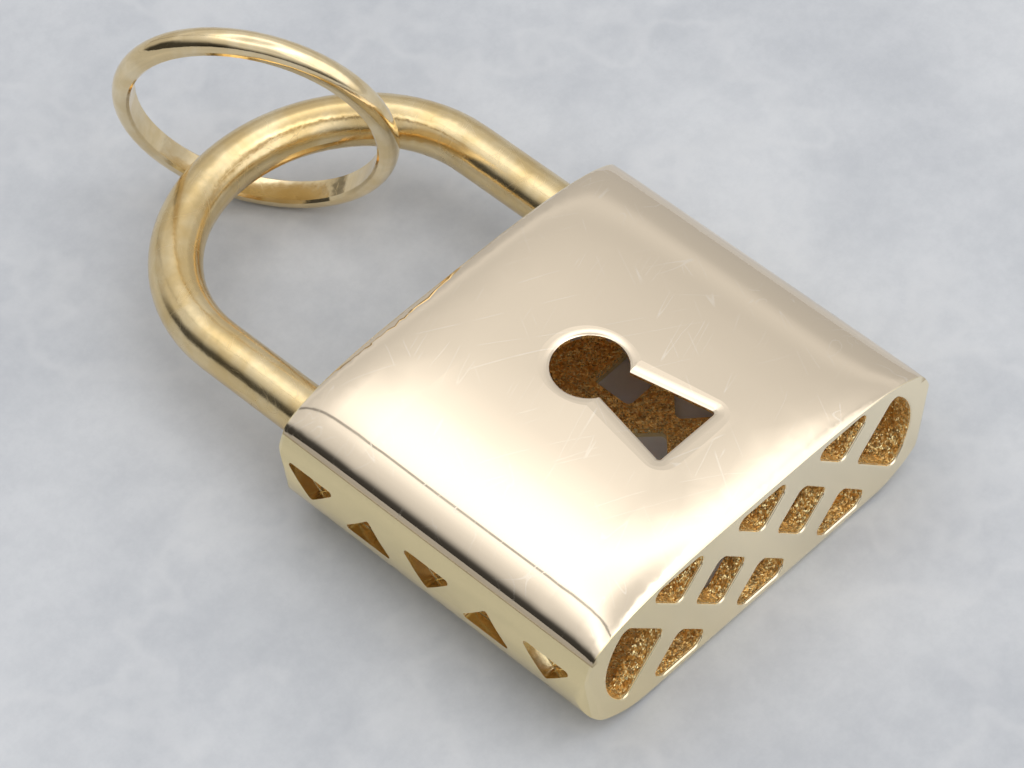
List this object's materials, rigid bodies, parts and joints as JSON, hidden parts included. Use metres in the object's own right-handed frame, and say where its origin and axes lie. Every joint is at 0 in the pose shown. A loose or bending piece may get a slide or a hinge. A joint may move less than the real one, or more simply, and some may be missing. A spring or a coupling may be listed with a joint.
{
  "type": "padlock pendant",
  "caption": "Hollow gold padlock pendant with a keyhole, pierced diamond lattice walls, an arched shackle and a bail ring, lying on its back.",
  "frame": {"origin": "bottom centre of the whole pendant's box, on the surface that it lies on", "axes": "+Y from the lock body towards the shackle and its ring, +X to the right seen from the front, +Z out of the front with the keyhole"},
  "size_m": [0.0146, 0.025, 0.0088],
  "materials": {
    "body_gold": "polished front plate, satin pierced walls, rough cast inside",
    "shackle_gold": "polished, lightly worn",
    "ring_gold": "polished"
  },
  "bodies": {
    "root": {"lock_body": "body_gold", "shackle": "shackle_gold", "bail_ring": "ring_gold"}
  },
  "joints": []
}
